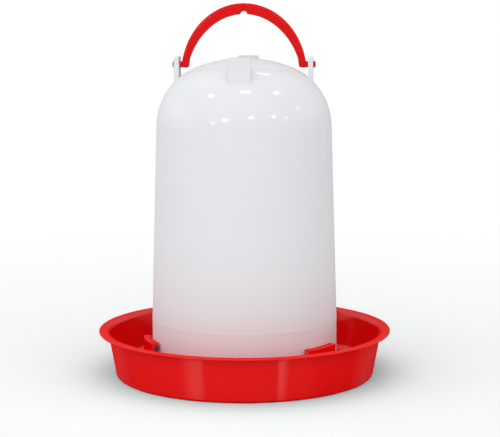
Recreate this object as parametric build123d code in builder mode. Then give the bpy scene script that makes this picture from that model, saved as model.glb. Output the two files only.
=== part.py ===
from build123d import *
import math
import os

# Poultry waterer fount: a bell-shaped water fount that twists onto a round drinking tray, with a
# swinging carrying handle. Millimetres, +Z up. The origin is on the floor, on the tray's axis.
# +X points along the handle's pivot pins and -Y is the front.

# ---------------------------------------------------------------- driving dimensions

# Drinking tray
tray_rim_radius = 150.0  # over the lip
tray_height = 46.9  # floor to the top of the lip
tray_wall_radius = 140.8  # outside of the wall, just under the lip
tray_draft_deg = 10.4  # the wall leans out by this much
tray_thickness = 2.0
tray_foot_width = 4.0  # flat ring that the tray stands on
tray_foot_height = 3.0  # floor's underside above the ground
foot_corner_radius = 2.9
trough_corner_radius = 9.0
lip_corner_radius = 4.8  # the flat lip rolls over into the trough
lip_edge_radius = 0.9
centre_rise = 6.0  # the middle of the tray floor is a low dome
centre_rise_radius = 76.0

# Ribs inside the tray that carry and centre the fount
seat_rib_count = 6
seat_rib_thickness = 3.0
seat_rib_inner = 82.0
seat_rib_outer = 98.5
seat_gap = 0.2  # under the fount's rim
guide_gap = 0.6  # inside the fount's skirt
guide_height = 15.0
guide_lead_height = 3.0  # sloping tip that leads the skirt over the rib
guide_lead_depth = 2.0
seat_rib_slope = 4.0  # the inner end of the rib leans outwards by this much

# Ribs and inner foot ring under the tray
under_rib_count = 12
under_rib_thickness = 2.0
under_rib_lift = 0.8  # the ribs stay clear of the ground
hub_radius = 24.0
inner_foot_radius = 92.0
inner_foot_width = 2.5

# Fount
skirt_radius = 95.0  # outside, straight part at the bottom
skirt_bottom = 6.4  # rim above the ground
skirt_top = 60.4  # top of the bead between skirt and tapered wall
fount_thickness = 2.0
wall_top_radius = 89.15  # outside, where the taper meets the shoulder
wall_top = 256.8
crown_height = 324.3
crown_radius = 130.0
bead_height = 4.0
bead_depth = 0.16
outlet_width = 14.0  # water outlets in the skirt
outlet_top = 24.0  # sets the water level
outlet_offset_deg = 60.0  # from a tab to the next outlet

# Twist lock between fount and tray: one lug at the back and one on either side of the front
lug_back_deg = 81.3  # bearing of the back lug, from +X towards +Y
lug_side_deg = 118.2  # from the back lug to each of the other two
lug_span_deg = 23.2
lug_inner_radius = 97.0
lug_outer_radius = 104.5
lug_wall = 2.9
lug_top = 40.4
lug_plate = 2.8
lug_edge_radius = 0.8
lug_stop_deg = 1.6  # closed end of each lug
tab_span_deg = 9.0
tab_radius = 101.0
tab_thickness = 3.1
tab_web_deg = 1.2  # web under each end of a tab
tab_web_depth = 10.0  # below the top of the tab, at the skirt
tab_web_nose = 4.5  # below the top of the tab, at the tip
tab_web_inset = 0.4  # the web stops short of the tab's tip
lock_gap = 0.4  # above the tab, under the lug's plate
stop_gap_deg = 0.3  # between tab and closed end

# Ears for the handle and the two matching feet
ear_inner = 65.3  # from the axis to the ear's inner face
ear_thickness = 4.9
ear_width = 22.4
ear_top = 325.8
ear_root = 292.0  # inside the bell's wall
ear_corner_radius = 2.0

# Handle
pivot_height = 317.9
pin_radius = 3.1
pin_clearance = 0.08
head_radius = 3.4
head_length = 2.4
head_gap = 0.25  # between the snap head and the ear
head_round = 1.7
outer_half_width = 63.8  # the arch is bounded by two ellipses
outer_rise = 71.3
outer_centre = 307.8
inner_half_width = 59.8
inner_rise = 74.0
inner_centre = 294.1
leg_bend = 324.0  # below this height the inside of each leg runs straight to its end
leg_inner = 56.0  # from the axis to the inside of a leg at its end
leg_bend_radius = 8.0
leg_drop = 3.3  # leg below the pivot axis
handle_depth = 7.8  # front to back
handle_edge_radius = 2.4
leg_tip_flat = 2.0  # left between the rounded corners of a leg's tip
hook_notch_radius = 3.8
hook_notch_depth = 3.1

overlap = 1.0  # joined solids reach this far into each other

os.makedirs("parts", exist_ok=True)

# ---------------------------------------------------------------- derived sizes

draft = math.radians(tray_draft_deg)
floor_top = tray_foot_height + tray_thickness
lug_bearings = [lug_back_deg + side * lug_side_deg for side in (-1, 0, 1)]
lug_underside = lug_top - lug_plate
tab_top = lug_underside - lock_gap
ear_outer = ear_inner + ear_thickness


def radial_plane(bearing_deg):
    """Upright plane through the axis: local x points outwards at this bearing, local y points up."""
    a = math.radians(bearing_deg)
    return Plane(
        origin=(0, 0, 0),
        x_dir=(math.cos(a), math.sin(a), 0),
        z_dir=(math.sin(a), -math.cos(a), 0),
    )


def facing_plane(bearing_deg, radius):
    """Upright plane that faces outwards at this bearing and radius: local y points up."""
    a = math.radians(bearing_deg)
    return Plane(
        origin=(radius * math.cos(a), radius * math.sin(a), 0),
        x_dir=(-math.sin(a), math.cos(a), 0),
        z_dir=(math.cos(a), math.sin(a), 0),
    )


def tray_wall_outside(z):
    """Radius of the tray's outer wall at height z."""
    return tray_wall_radius - (lip_under - z) * math.tan(draft)


def tray_wall_inside(z):
    """Radius of the wall's inner face at height z."""
    return tray_wall_outside(z) - tray_thickness / math.cos(draft)


def floor_rise(r):
    """Height of the low dome in the middle of the tray floor above the flat floor, at radius r."""
    dome_radius = (centre_rise_radius**2 + centre_rise**2) / (2 * centre_rise)
    return math.sqrt(dome_radius**2 - r**2) - dome_radius + centre_rise


# ---------------------------------------------------------------- tray

lip_under = tray_height - tray_thickness
foot_outside = tray_wall_outside(0)
foot_inside = foot_outside - foot_corner_radius - tray_foot_width
half_rise_radius = centre_rise_radius / 2
centre_top = floor_top + centre_rise
seat_height = skirt_bottom - seat_gap
guide_outer = skirt_radius - fount_thickness - guide_gap
rib_base = floor_top - tray_thickness / 4
rib_top = tray_foot_height + tray_thickness / 2  # ribs reach into the floor
under_rib_outer = foot_inside + overlap
rib_middle = (hub_radius + centre_rise_radius) / 2

section_corners = (
    ((foot_outside, 0), foot_corner_radius),
    ((tray_wall_inside(floor_top), floor_top), trough_corner_radius),
    ((tray_wall_inside(tray_height), tray_height), lip_corner_radius),
    ((tray_wall_radius, lip_under), lip_corner_radius - tray_thickness),
    ((tray_rim_radius, tray_height), lip_edge_radius),
    ((tray_rim_radius, lip_under), lip_edge_radius),
)

with BuildPart() as tray:
    # One revolved section: foot, wall, lip, trough and domed floor
    with BuildSketch(Plane.XZ):
        with BuildLine():
            Polyline(
                (foot_inside, 0),
                (foot_outside, 0),
                (tray_wall_radius, lip_under),
                (tray_rim_radius, lip_under),
                (tray_rim_radius, tray_height),
                (tray_wall_inside(tray_height), tray_height),
                (tray_wall_inside(floor_top), floor_top),
                (centre_rise_radius, floor_top),
            )
            ThreePointArc(
                (centre_rise_radius, floor_top),
                (half_rise_radius, floor_top + floor_rise(half_rise_radius)),
                (0, centre_top),
            )
            Line((0, centre_top), (0, centre_top - tray_thickness))
            ThreePointArc(
                (0, centre_top - tray_thickness),
                (half_rise_radius, tray_foot_height + floor_rise(half_rise_radius)),
                (centre_rise_radius, tray_foot_height),
            )
            Polyline(
                (centre_rise_radius, tray_foot_height),
                (foot_inside, tray_foot_height),
                (foot_inside, 0),
            )
        make_face()
        for (corner_r, corner_z), corner_radius in section_corners:
            fillet(vertices().sort_by_distance((corner_r, corner_z, 0))[0], corner_radius)
    revolve(axis=Axis.Z)

    # Hooked lugs that hold the fount down, open at one end and closed at the other
    for bearing in lug_bearings:
        start = bearing - lug_span_deg / 2
        with BuildSketch(radial_plane(start)):
            with BuildLine():
                Polyline(
                    (lug_outer_radius - lug_wall, rib_base),
                    (lug_outer_radius, rib_base),
                    (lug_outer_radius, lug_top),
                    (lug_inner_radius, lug_top),
                    (lug_inner_radius, lug_underside),
                    (lug_outer_radius - lug_wall, lug_underside),
                    close=True,
                )
            make_face()
            fillet(vertices().group_by(Axis.Y)[-1], lug_edge_radius)
        revolve(axis=Axis.Z, revolution_arc=lug_span_deg)
        with BuildSketch(radial_plane(start)):
            with BuildLine():
                Polyline(
                    (lug_inner_radius, rib_base),
                    (lug_outer_radius - overlap, rib_base),
                    (lug_outer_radius - overlap, lug_underside + overlap),
                    (lug_inner_radius, lug_underside + overlap),
                    close=True,
                )
            make_face()
        revolve(axis=Axis.Z, revolution_arc=lug_stop_deg)

    # Short ribs on the floor: the outer step carries the fount's rim, the tall step centres it
    for i in range(seat_rib_count):
        with BuildSketch(radial_plane(lug_back_deg + (i + 0.5) * 360 / seat_rib_count)):
            with BuildLine():
                Polyline(
                    (seat_rib_inner, rib_base),
                    (seat_rib_outer, rib_base),
                    (seat_rib_outer, seat_height),
                    (guide_outer, seat_height),
                    (guide_outer, guide_height - guide_lead_height),
                    (guide_outer - guide_lead_depth, guide_height),
                    (seat_rib_inner + seat_rib_slope, guide_height),
                    close=True,
                )
            make_face()
        extrude(amount=seat_rib_thickness / 2, both=True)

    # Inner foot ring and stiffening ribs under the floor
    with BuildSketch(Plane.XY):
        Circle(inner_foot_radius)
        Circle(inner_foot_radius - inner_foot_width, mode=Mode.SUBTRACT)
    extrude(amount=rib_top)
    for i in range(under_rib_count):
        with BuildSketch(radial_plane(i * 360 / under_rib_count)):
            with BuildLine():
                Polyline(
                    (hub_radius, rib_top + floor_rise(hub_radius)),
                    (hub_radius, under_rib_lift),
                    (under_rib_outer, under_rib_lift),
                    (under_rib_outer, rib_top),
                    (centre_rise_radius, rib_top),
                )
                ThreePointArc(
                    (centre_rise_radius, rib_top),
                    (rib_middle, rib_top + floor_rise(rib_middle)),
                    (hub_radius, rib_top + floor_rise(hub_radius)),
                )
            make_face()
        extrude(amount=under_rib_thickness / 2, both=True)

tray.part.label = "tray"
export_step(tray.part, "parts/tray.step")

# ---------------------------------------------------------------- fount

taper_angle = math.atan((skirt_radius - wall_top_radius) / (wall_top - skirt_top))
crown_centre = crown_height - crown_radius
skirt_core = skirt_radius - overlap
hole_radius = pin_radius + pin_clearance
outlet_half_width = outlet_width / 2

# The shoulder arc touches both the tapered wall and the crown arc. Its centre lies on the wall's
# normal, so its radius follows from the two tangency conditions.
normal_r = math.cos(taper_angle)
normal_z = math.sin(taper_angle)
drop = wall_top - crown_centre
shoulder_radius = (crown_radius**2 - wall_top_radius**2 - drop**2) / (
    2 * (crown_radius - wall_top_radius * normal_r - drop * normal_z)
)
shoulder_r = wall_top_radius - shoulder_radius * normal_r
shoulder_z = wall_top - shoulder_radius * normal_z
crown_turn = math.atan2(shoulder_r, shoulder_z - crown_centre)  # from the axis to the shoulder


def shoulder_point(arc, angle):
    """Point on an arc about the shoulder's centre, angle measured from the vertical."""
    return (shoulder_r + arc * math.sin(angle), shoulder_z + arc * math.cos(angle))


def shell_section(inset):
    """Half section of the bell, moved inwards by inset, closed along the axis and the rim."""
    arc = shoulder_radius - inset
    crown = crown_radius - inset
    wall_turn = math.pi / 2 - taper_angle
    wall_end = shoulder_point(arc, wall_turn)
    crown_end = shoulder_point(arc, crown_turn)
    crown_middle = (
        crown * math.sin(crown_turn / 2),
        crown_centre + crown * math.cos(crown_turn / 2),
    )
    with BuildSketch(Plane.XZ) as half:
        with BuildLine():
            Polyline(
                (0, skirt_bottom),
                (skirt_radius - inset, skirt_bottom),
                (skirt_radius - inset, skirt_top),
                wall_end,
            )
            ThreePointArc(wall_end, shoulder_point(arc, (crown_turn + wall_turn) / 2), crown_end)
            ThreePointArc(crown_end, crown_middle, (0, crown_centre + crown))
            Line((0, crown_centre + crown), (0, skirt_bottom))
        make_face()
    return half.sketch


outer_section = shell_section(0)
inner_section = shell_section(fount_thickness)

with BuildPart() as fount:
    add(outer_section)
    revolve(axis=Axis.Z)

    # Low bead where the straight skirt meets the tapered wall
    with BuildSketch(Plane.XZ):
        with BuildLine():
            ThreePointArc(
                (skirt_radius, skirt_top - bead_height),
                (skirt_radius + bead_depth, skirt_top - bead_height / 2),
                (skirt_radius, skirt_top),
            )
            Polyline(
                (skirt_radius, skirt_top),
                (skirt_core, skirt_top),
                (skirt_core, skirt_top - bead_height),
                (skirt_radius, skirt_top - bead_height),
            )
        make_face()
    revolve(axis=Axis.Z)

    # Two ears for the handle and two matching feet: together they let the bell stand upside down
    for bearing in (0, 90, 180, 270):
        with BuildSketch(facing_plane(bearing, ear_inner)):
            with BuildLine():
                Polyline(
                    (-ear_width / 2, ear_root),
                    (ear_width / 2, ear_root),
                    (ear_width / 2, ear_top),
                    (-ear_width / 2, ear_top),
                    close=True,
                )
            make_face()
            fillet(vertices().group_by(Axis.Y)[-1], ear_corner_radius)
        extrude(amount=ear_thickness)

    # Tabs that slide under the tray's lugs
    for bearing in lug_bearings:
        start = bearing - lug_span_deg / 2 + lug_stop_deg + stop_gap_deg
        with BuildSketch(radial_plane(start)):
            with BuildLine():
                Polyline(
                    (skirt_core, tab_top - tab_thickness),
                    (tab_radius, tab_top - tab_thickness),
                    (tab_radius, tab_top),
                    (skirt_core, tab_top),
                    close=True,
                )
            make_face()
        revolve(axis=Axis.Z, revolution_arc=tab_span_deg)
        # a web under each end of the tab
        for web_start in (start, start + tab_span_deg - tab_web_deg):
            with BuildSketch(radial_plane(web_start)):
                with BuildLine():
                    Polyline(
                        (skirt_core, tab_top - tab_web_depth),
                        (skirt_radius, tab_top - tab_web_depth),
                        (tab_radius - tab_web_inset, tab_top - tab_web_nose),
                        (tab_radius - tab_web_inset, tab_top - overlap),
                        (skirt_core, tab_top - overlap),
                        close=True,
                    )
                make_face()
            revolve(axis=Axis.Z, revolution_arc=tab_web_deg)

    # Hollow inside
    add(inner_section)
    revolve(axis=Axis.Z, mode=Mode.SUBTRACT)

    # Arched water outlets in the skirt, between the tabs
    for bearing in lug_bearings:
        with BuildSketch(facing_plane(bearing + outlet_offset_deg, guide_outer)):
            with BuildLine():
                Polyline(
                    (-outlet_half_width, outlet_top - outlet_half_width),
                    (-outlet_half_width, skirt_bottom - overlap),
                    (outlet_half_width, skirt_bottom - overlap),
                    (outlet_half_width, outlet_top - outlet_half_width),
                )
                ThreePointArc(
                    (outlet_half_width, outlet_top - outlet_half_width),
                    (0, outlet_top),
                    (-outlet_half_width, outlet_top - outlet_half_width),
                )
            make_face()
        extrude(amount=skirt_radius + overlap - guide_outer, mode=Mode.SUBTRACT)

    # Pivot holes through the two ears
    for bearing in (0, 180):
        with BuildSketch(facing_plane(bearing, ear_inner + ear_thickness / 2)):
            with Locations((0, pivot_height)):
                Circle(hole_radius)
        extrude(amount=ear_thickness, both=True, mode=Mode.SUBTRACT)

fount.part.label = "fount"
export_step(fount.part, "parts/fount.step")

# ---------------------------------------------------------------- handle

leg_end = pivot_height - leg_drop
arch_top = outer_centre + outer_rise
notch_crest = inner_centre + inner_rise + hook_notch_depth
side_top = arch_top + overlap
side_reach = outer_half_width + overlap
pin_start = (outer_half_width + leg_inner) / 2  # in the middle of the leg
head_start = ear_outer + head_gap
head_end = ear_outer + head_length


def arch_angle(rise, centre, height):
    """Parameter angle, in degrees, at which an ellipse of the arch reaches a height."""
    return math.degrees(math.asin((height - centre) / rise))


def arch_reach(half_width, rise, centre, height):
    """Distance from the axis to an ellipse of the arch at a height."""
    return half_width * math.cos(math.radians(arch_angle(rise, centre, height)))


leg_outer = arch_reach(outer_half_width, outer_rise, outer_centre, leg_end)
bend_reach = arch_reach(inner_half_width, inner_rise, inner_centre, leg_bend)

with BuildPart() as handle:
    # Front view of the arch
    with BuildSketch(Plane.XZ.offset(side_reach)):
        with BuildLine():
            for half_width, rise, centre, end in (
                (outer_half_width, outer_rise, outer_centre, leg_end),
                (inner_half_width, inner_rise, inner_centre, leg_bend),
            ):
                start_angle = arch_angle(rise, centre, end)
                EllipticalCenterArc(
                    (0, centre),
                    half_width,
                    rise,
                    start_angle=start_angle,
                    arc_size=180 - 2 * start_angle,
                )
            for side in (1, -1):
                Polyline(
                    (side * leg_outer, leg_end),
                    (side * leg_inner, leg_end),
                    (side * bend_reach, leg_bend),
                )
        make_face()
        for side in (1, -1):
            fillet(vertices().sort_by_distance((side * bend_reach, leg_bend, 0))[0], leg_bend_radius)
    extrude(amount=-2 * side_reach)

    # Side view: a flat bar with round leg tips that clear the bell as the handle swings
    with BuildSketch(Plane.YZ.offset(-side_reach)):
        with BuildLine():
            Polyline(
                (-handle_depth / 2, leg_end),
                (handle_depth / 2, leg_end),
                (handle_depth / 2, side_top),
                (-handle_depth / 2, side_top),
                close=True,
            )
        make_face()
        fillet(vertices().group_by(Axis.Y)[0], (handle_depth - leg_tip_flat) / 2)
    extrude(amount=2 * side_reach, mode=Mode.INTERSECT)
    fillet(handle.edges().filter_by(Axis.Y, reverse=True), handle_edge_radius)

    # Rounded notch under the grip that centres a hanging hook
    with BuildSketch(Plane.XZ):
        with Locations((0, notch_crest - hook_notch_radius)):
            Circle(hook_notch_radius)
    extrude(amount=handle_depth, both=True, mode=Mode.SUBTRACT)

    # Pivot pins with snap heads outside the ears
    for side in (1, -1):
        pin_plane = Plane(
            origin=(0, 0, pivot_height), x_dir=(side, 0, 0), z_dir=(0, -side, 0)
        )
        with BuildSketch(pin_plane):
            with BuildLine():
                Polyline(
                    (pin_start, 0),
                    (pin_start, pin_radius),
                    (head_start, pin_radius),
                    (head_start, head_radius),
                    (head_end, head_radius),
                    (head_end, 0),
                    close=True,
                )
            make_face()
            fillet(vertices().sort_by_distance((head_end, head_radius, 0))[0], head_round)
        revolve(axis=Axis((0, 0, pivot_height), (1, 0, 0)))

handle.part.label = "handle"
export_step(handle.part, "parts/handle.step")
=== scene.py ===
import math

import bpy
from mathutils import Euler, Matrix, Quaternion, Vector


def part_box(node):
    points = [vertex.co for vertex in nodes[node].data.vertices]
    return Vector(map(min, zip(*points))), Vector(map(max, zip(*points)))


# A poultry drinker on a plain pale floor: red tray, milky fount and red handle. Metres, in the
# frame of the CAD: +Z up, -Y to the front. Bearings are in degrees from the front towards +X,
# elevations in degrees above level, and colours are linear.

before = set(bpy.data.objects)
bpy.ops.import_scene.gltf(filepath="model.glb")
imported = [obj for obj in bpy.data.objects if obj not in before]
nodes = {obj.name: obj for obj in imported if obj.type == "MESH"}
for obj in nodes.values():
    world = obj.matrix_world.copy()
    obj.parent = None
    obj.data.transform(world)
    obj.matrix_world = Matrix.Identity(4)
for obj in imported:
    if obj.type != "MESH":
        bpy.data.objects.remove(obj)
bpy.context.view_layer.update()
scene = bpy.context.scene

# ---------------------------------------------------------------- settings

# Plastics: flow marks run between two tints, and each reflects the same share at every angle
TRAY_TINTS = ((0.90, 0.0045, 0.0050, 1), (0.87, 0.0040, 0.0045, 1))
HANDLE_TINTS = ((0.75, 0.0070, 0.0075, 1), (0.72, 0.0065, 0.0070, 1))
MILKY_TINTS = ((0.825, 0.833, 0.862, 1), (0.805, 0.813, 0.842, 1))
FULL_SHARE = 0.045
HANDLE_SHARE = 0.02
GREY_BOUNCE = (0.12, 0.12, 0.12, 1)  # light thrown on by outward faces that must not tint the floor
OUTWARD = 0.02  # a face looks outwards above this product of place and normal
DOWN_WEIGHT = 0.1  # makes downward faces count as outward ones
MOULDED_EDGE = 0.0005  # radius that shading gives to sharp edges
EDGE_SAMPLES = 6
WAVE_STRENGTH = 0.1
GRAIN_DEPTH = 0.0001

# Floor
FLOOR_SIZE = 12.0
FLOOR_TINT = (0.85, 0.85, 0.85, 1)
FLOOR_TINT_SEEN = (1.06, 1.07, 1.07, 1)  # as the camera sees it
FLOOR_FADE_START = 0.25  # from the object's axis; beyond it the floor fades to plain white
FLOOR_FADE_END = 1.3

# Sky that lights matt surfaces: its brightness is this level plus slope times direction
SKY_LEVEL = 0.557
SKY_SLOPE = (-0.118, -0.603, 0.50)
BACKDROP = 1.0  # what the camera sees behind the object

# Room that glossy surfaces reflect. Its layers fade between two values of the direction's z, the
# sine of the elevation, or of its y. A strip is (start, full, fade, end, brightness) round the
# bearings: it rises from start to full and falls from fade to end.
ROOM_LEVEL = 0.12
CEILING_Z = (0.08, 0.34)
CEILING_Y = (-0.4, 0.5)  # it brightens from front to back
CEILING_FRONT = 0.12
CEILING_BACK = 0.95
WALL_FOOT_Z = (-0.02, 0.02)
WALL_TOP_Z = (0.5, 0.2)
WALLS = ((-165, -150, -75, -55, 0.5), (55, 75, 150, 165, 0.28))
WINDOW_TOP_Z = (-0.14, -0.2)
WINDOW_FOOT_Z = (-0.578, -0.545)
WINDOWS = ((-58, -40, -36, -33, 0.72), (34, 36, 36.5, 45, 1.3))
GROUND_Z = (0.34, 0.08)
GROUND_BACK_Y = (0.4, 0.75)
GROUND_BACK = 0.28
GROUND_RIGHT = (60, 80, 110, 125, -0.08)  # a darker strip
DEPTH_Z = (-0.66, -0.59)  # nothing shines below this

# Lamps that show only as highlights. A soft box is (width, height, watts).
BROAD_BOX = (0.50, 0.22, 1.6)
MAIN_BOX = (0.35, 0.25, 1.4)
SIDE_BOX = (0.30, 0.22, 0.8)
FAINT_BOX = (0.30, 0.22, 0.5)
LAMP_DISTANCE = 2.5
LAMP_AIM = 0.9  # share of the fount's height
LAMPS = (  # bearing, elevation, soft box: four high ones, then a low row round the front
    (-61.4, 51.5, MAIN_BOX),
    (6.9, 68.3, BROAD_BOX),
    (75.6, 55.4, MAIN_BOX),
    (160.3, 60.0, MAIN_BOX),
    (-36.8, 9.2, SIDE_BOX),
    (-20.0, 15.5, MAIN_BOX),
    (13.6, 20.8, MAIN_BOX),
    (43.6, 20.0, SIDE_BOX),
    (60.7, 16.4, FAINT_BOX),
    (86.4, 25.2, FAINT_BOX),
)

# Camera
CAMERA_DISTANCE = 1.465
CAMERA_HEIGHT = 0.34905
CAMERA_BEARING = 4.0
CAMERA_PAN = 0.2297
CAMERA_TILT = 7.339  # down
CAMERA_ROLL = -0.12
CAMERA_LENS = 103.58  # millimetres, on a sensor of this width
CAMERA_SENSOR = 36.0


# ---------------------------------------------------------------- node helpers

class Nodes:
    """Builds a material's or the world's node tree with few words."""

    def __init__(self, tree):
        self.tree = tree
        tree.nodes.clear()

    def add(self, kind, **settings):
        node = self.tree.nodes.new(kind)
        for name, value in settings.items():
            setattr(node, name, value)
        return node

    def link(self, source, target):
        self.tree.links.new(source, target)

    def value(self, socket, value):
        """Joins a socket to another socket, or sets it to a number or colour."""
        if isinstance(value, bpy.types.NodeSocket):
            self.link(value, socket)
        else:
            socket.default_value = value

    def math(self, operation, a, b):
        node = self.add("ShaderNodeMath", operation=operation)
        self.value(node.inputs[0], a)
        self.value(node.inputs[1], b)
        return node.outputs[0]

    def total(self, first, *others):
        for other in others:
            first = self.math("ADD", first, other)
        return first

    def product(self, first, *others):
        for other in others:
            first = self.math("MULTIPLY", first, other)
        return first

    def vector_math(self, operation, *inputs, output="Vector"):
        node = self.add("ShaderNodeVectorMath", operation=operation)
        for socket, value in zip(node.inputs, inputs):
            self.value(socket, value)
        return node.outputs[output]

    def noise(self, scale, detail=3.0, roughness=0.5, stretch=(1, 1, 1)):
        """Noise in object coordinates, in metres; stretch scales each axis."""
        coordinates = self.add("ShaderNodeTexCoord")
        mapping = self.add("ShaderNodeMapping")
        mapping.inputs["Scale"].default_value = stretch
        noise = self.add("ShaderNodeTexNoise")
        noise.inputs["Scale"].default_value = scale
        noise.inputs["Detail"].default_value = detail
        noise.inputs["Roughness"].default_value = roughness
        self.link(coordinates.outputs["Object"], mapping.inputs["Vector"])
        self.link(mapping.outputs[0], noise.inputs["Vector"])
        return noise.outputs["Fac"]

    def span(self, value, low, high):
        """Maps 0..1 to low..high."""
        node = self.add("ShaderNodeMapRange")
        self.value(node.inputs["Value"], value)
        node.inputs["To Min"].default_value = low
        node.inputs["To Max"].default_value = high
        return node.outputs[0]

    def ramp(self, value, start, end):
        """Smooth step from 0 at start to 1 at end; end may be below start."""
        node = self.add("ShaderNodeMapRange", interpolation_type="SMOOTHSTEP")
        self.value(node.inputs["Value"], value)
        node.inputs["From Min"].default_value = start
        node.inputs["From Max"].default_value = end
        return node.outputs[0]

    def strip(self, bearing, start, full, fade, end, brightness):
        """Upright strip of light that rises from start to full and falls from fade to end."""
        rise = self.ramp(bearing, math.radians(start), math.radians(full))
        fall = self.ramp(bearing, math.radians(end), math.radians(fade))
        return self.product(rise, fall, brightness)

    def mix(self, kind, factor, a, b):
        """Blends two numbers (kind FLOAT) or two colours (kind RGBA)."""
        node = self.add("ShaderNodeMix", data_type=kind)
        self.value(node.inputs["Factor"], factor)
        self.value(node.inputs["A"], a)
        self.value(node.inputs["B"], b)
        return node.outputs["Result"]

    def mix_shader(self, factor, a, b):
        node = self.add("ShaderNodeMixShader")
        self.value(node.inputs[0], factor)
        self.link(a.outputs[0], node.inputs[1])
        self.link(b.outputs[0], node.inputs[2])
        return node.outputs[0]

    def bump(self, height, strength, distance, normal):
        node = self.add("ShaderNodeBump")
        node.inputs["Strength"].default_value = strength
        node.inputs["Distance"].default_value = distance
        self.value(node.inputs["Height"], height)
        self.link(normal, node.inputs["Normal"])
        return node.outputs[0]


def new_material(name):
    material = bpy.data.materials.new(name)
    material.use_nodes = True
    return material, Nodes(material.node_tree)


# ---------------------------------------------------------------- plastics

def outside_mask(n):
    """1 on faces that look away from the object's axis or down, 0 elsewhere."""
    geometry = n.add("ShaderNodeNewGeometry")
    flatten = (1, 1, 0)
    lower = (0, 0, -DOWN_WEIGHT)
    place = n.vector_math("MULTIPLY_ADD", geometry.outputs["Position"], flatten, lower)
    normal = geometry.outputs["True Normal"]
    outward = n.vector_math("DOT_PRODUCT", place, normal, output="Value")
    return n.math("GREATER_THAN", outward, OUTWARD)


def soft_edges(n):
    """Normal that rounds sharp moulded edges a little."""
    bevel = n.add("ShaderNodeBevel", samples=EDGE_SAMPLES)
    bevel.inputs["Radius"].default_value = MOULDED_EDGE
    return bevel.outputs[0]


def moulded_plastic(
    name,
    tints,
    roughness,
    share=FULL_SHARE,
    roughness_swing=0.02,
    gloss_scale=60.0,
    flow_scale=14.0,
    flow_stretch=2.5,
    wave_scale=22.0,
    wave_depth=0.0003,
    grain_scale=1600.0,
    grain_strength=0.03,
    grey_bounce=False,
):
    """Matt body under a clear reflection, with flow marks, faint waves, grain and uneven gloss.

    Scales are noise cells per metre. grey_bounce greys the light that outward faces throw on.
    """
    material, n = new_material(name)
    flow = n.noise(flow_scale, detail=4.0, roughness=0.55, stretch=(1, 1, flow_stretch))
    tint = n.mix("RGBA", flow, *tints)
    if grey_bounce:
        diffuse_ray = n.add("ShaderNodeLightPath").outputs["Is Diffuse Ray"]
        tint = n.mix("RGBA", n.product(diffuse_ray, outside_mask(n)), tint, GREY_BOUNCE)
    wave = n.noise(wave_scale, detail=1.0)
    waves = n.bump(wave, WAVE_STRENGTH, wave_depth, soft_edges(n))
    grain = n.bump(n.noise(grain_scale, detail=2.0), grain_strength, GRAIN_DEPTH, waves)

    body = n.add("ShaderNodeBsdfDiffuse")
    n.link(tint, body.inputs["Color"])
    n.link(grain, body.inputs["Normal"])
    gloss = n.add("ShaderNodeBsdfGlossy")
    gloss.inputs["Color"].default_value = (1, 1, 1, 1)
    uneven = n.span(n.noise(gloss_scale), roughness - roughness_swing, roughness + roughness_swing)
    n.link(uneven, gloss.inputs["Roughness"])
    n.link(grain, gloss.inputs["Normal"])
    out = n.add("ShaderNodeOutputMaterial")
    n.link(n.mix_shader(share, body, gloss), out.inputs["Surface"])
    return material


def paint(obj, material):
    """Gives every slot of an object this material."""
    for slot in obj.material_slots:
        slot.material = material


paint(nodes["tray"], moulded_plastic("tray_red", TRAY_TINTS, 0.10, grey_bounce=True))
paint(nodes["handle"], moulded_plastic("handle_red", HANDLE_TINTS, 0.14, share=HANDLE_SHARE))
milky = moulded_plastic(
    "milky_pe",
    MILKY_TINTS,
    0.05,
    roughness_swing=0.01,
    gloss_scale=40.0,
    flow_scale=9.0,
    flow_stretch=0.5,
    wave_scale=18.0,
    wave_depth=0.0005,
    grain_scale=1500.0,
    grain_strength=0.02,
)
paint(nodes["fount"], milky)


# ---------------------------------------------------------------- floor, light and camera

def make_floor():
    """A plain pale floor. Reflections look through it at the dim room below."""
    mesh = bpy.data.meshes.new("floor")
    half = FLOOR_SIZE / 2
    corners = [(-half, -half, 0), (half, -half, 0), (half, half, 0), (-half, half, 0)]
    mesh.from_pydata(corners, [], [(0, 1, 2, 3)])
    floor = bpy.data.objects.new("floor", mesh)
    scene.collection.objects.link(floor)

    material, n = new_material("floor_white")
    camera_ray = n.add("ShaderNodeLightPath").outputs["Is Camera Ray"]
    matt = n.add("ShaderNodeBsdfDiffuse")
    n.link(n.mix("RGBA", camera_ray, FLOOR_TINT, FLOOR_TINT_SEEN), matt.inputs["Color"])
    white = n.add("ShaderNodeEmission")
    position = n.add("ShaderNodeNewGeometry").outputs["Position"]
    away = n.vector_math("LENGTH", position, output="Value")
    fade = n.ramp(away, FLOOR_FADE_START, FLOOR_FADE_END)
    out = n.add("ShaderNodeOutputMaterial")
    n.link(n.mix_shader(fade, matt, white), out.inputs["Surface"])
    mesh.materials.append(material)
    floor.visible_glossy = False


def matt_sky(n, direction, z):
    """Brightness of the sky that lights matt surfaces, above the horizon only."""
    slope = n.vector_math("DOT_PRODUCT", direction, SKY_SLOPE, output="Value")
    sky = n.math("MAXIMUM", n.total(slope, SKY_LEVEL), 0.0)
    return n.product(sky, n.math("GREATER_THAN", z, 0.0))


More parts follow.
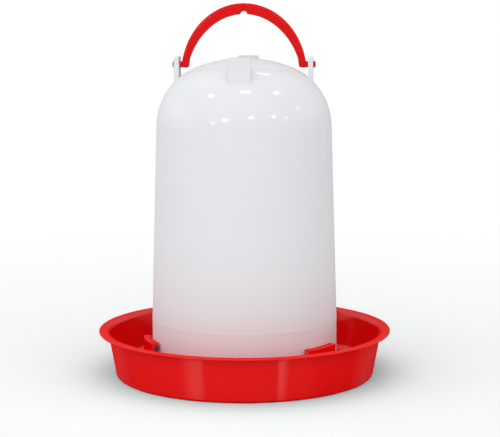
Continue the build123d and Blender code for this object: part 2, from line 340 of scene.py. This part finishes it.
def reflected_room(n, x, y, z):
    """Brightness of the room that glossy surfaces reflect."""
    bearing = n.math("ARCTAN2", x, n.product(y, -1.0))
    ceiling = n.span(n.ramp(y, *CEILING_Y), CEILING_FRONT, CEILING_BACK)
    walls = n.total(*(n.strip(bearing, *wall) for wall in WALLS))
    windows = n.total(*(n.strip(bearing, *window) for window in WINDOWS))
    ground_back = n.product(n.ramp(y, *GROUND_BACK_Y), GROUND_BACK)
    ground = n.total(ground_back, n.strip(bearing, *GROUND_RIGHT))
    room = n.total(
        n.product(ceiling, n.ramp(z, *CEILING_Z)),
        n.product(walls, n.ramp(z, *WALL_FOOT_Z), n.ramp(z, *WALL_TOP_Z)),
        n.product(windows, n.ramp(z, *WINDOW_TOP_Z), n.ramp(z, *WINDOW_FOOT_Z)),
        n.product(ground, n.ramp(z, *GROUND_Z)),
        ROOM_LEVEL,
    )
    return n.product(room, n.ramp(z, *DEPTH_Z))


def make_world():
    """White behind the object, a soft sky for matt surfaces and a dim room for reflections."""
    world = bpy.data.worlds.new("studio")
    scene.world = world
    world.use_nodes = True
    world.cycles.sampling_method = "NONE"
    n = Nodes(world.node_tree)
    ray = n.add("ShaderNodeLightPath")
    direction = n.add("ShaderNodeTexCoord").outputs["Generated"]
    split = n.add("ShaderNodeSeparateXYZ")
    n.link(direction, split.inputs[0])
    x, y, z = split.outputs

    sky = matt_sky(n, direction, z)
    level = n.mix("FLOAT", ray.outputs["Is Glossy Ray"], sky, reflected_room(n, x, y, z))
    shown = n.mix("FLOAT", ray.outputs["Is Camera Ray"], level, BACKDROP)
    background = n.add("ShaderNodeBackground")
    background.inputs["Color"].default_value = (1, 1, 1, 1)
    n.link(shown, background.inputs["Strength"])
    out = n.add("ShaderNodeOutputWorld")
    n.link(background.outputs[0], out.inputs["Surface"])


def make_lamp(name, aim, bearing, elevation, box):
    """Soft box, seen only as a highlight."""
    b = math.radians(bearing)
    e = math.radians(elevation)
    towards = Vector((math.sin(b) * math.cos(e), -math.cos(b) * math.cos(e), math.sin(e)))
    data = bpy.data.lights.new(name, "AREA")
    data.shape = "RECTANGLE"
    data.size, data.size_y, data.energy = box
    lamp = bpy.data.objects.new(name, data)
    lamp.location = aim + towards * LAMP_DISTANCE
    lamp.rotation_mode = "QUATERNION"
    lamp.rotation_quaternion = towards.to_track_quat("Z", "Y")
    lamp.visible_diffuse = False
    scene.collection.objects.link(lamp)


def make_lamps():
    """A ring of small soft boxes aimed at the fount's shoulder."""
    fount_low, fount_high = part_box("fount")
    aim = Vector((0, 0, fount_low.z + LAMP_AIM * (fount_high.z - fount_low.z)))
    for index, (bearing, elevation, box) in enumerate(LAMPS):
        make_lamp(f"lamp_{index}", aim, bearing, elevation, box)


def make_camera():
    bearing = math.radians(CAMERA_BEARING)
    data = bpy.data.cameras.new("camera")
    data.sensor_width = CAMERA_SENSOR
    data.lens = CAMERA_LENS
    camera = bpy.data.objects.new("camera", data)
    across = CAMERA_DISTANCE * math.sin(bearing)
    back = CAMERA_DISTANCE * math.cos(bearing)
    camera.location = (across, -back, CAMERA_HEIGHT)
    camera.rotation_mode = "QUATERNION"
    pitch = math.pi / 2 - math.radians(CAMERA_TILT)
    heading = bearing - math.radians(CAMERA_PAN)
    unrolled = Euler((pitch, 0, heading)).to_quaternion()
    camera.rotation_quaternion = unrolled @ Quaternion((0, 0, 1), math.radians(CAMERA_ROLL))
    scene.collection.objects.link(camera)
    scene.camera = camera


make_floor()
make_world()
make_lamps()
make_camera()
scene.view_settings.view_transform = "Standard"
